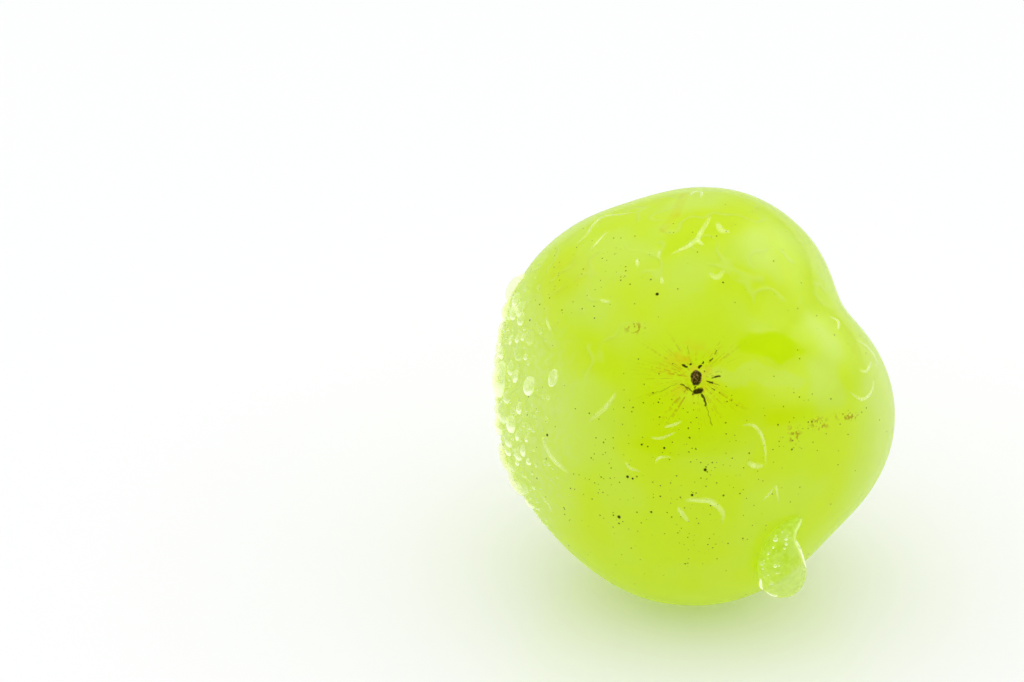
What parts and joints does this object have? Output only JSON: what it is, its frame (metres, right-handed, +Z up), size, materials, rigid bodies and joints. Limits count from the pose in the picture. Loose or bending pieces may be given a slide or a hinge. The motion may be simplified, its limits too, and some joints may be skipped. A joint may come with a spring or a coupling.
{
  "type": "grape",
  "caption": "Large ripe yellow-green table grape with a lobed cross-section and a small dark blossom scar, wet with water beads and a hanging drop, resting on a small flat spot.",
  "frame": {"origin": "middle of the small flat spot on which the grape rests", "axes": "+Z up, away from the surface; the blossom scar faces -Y and leans up by about 33 degrees; +X to the right of a viewer who faces the scar"},
  "size_m": [0.0315, 0.0313, 0.0315],
  "materials": {
    "grape_skin": "wet translucent fruit skin",
    "water": "clear water"
  },
  "bodies": {
    "root": {"berry": "grape_skin", "hanging_drop": "water", "water_beads": "water"}
  },
  "joints": []
}
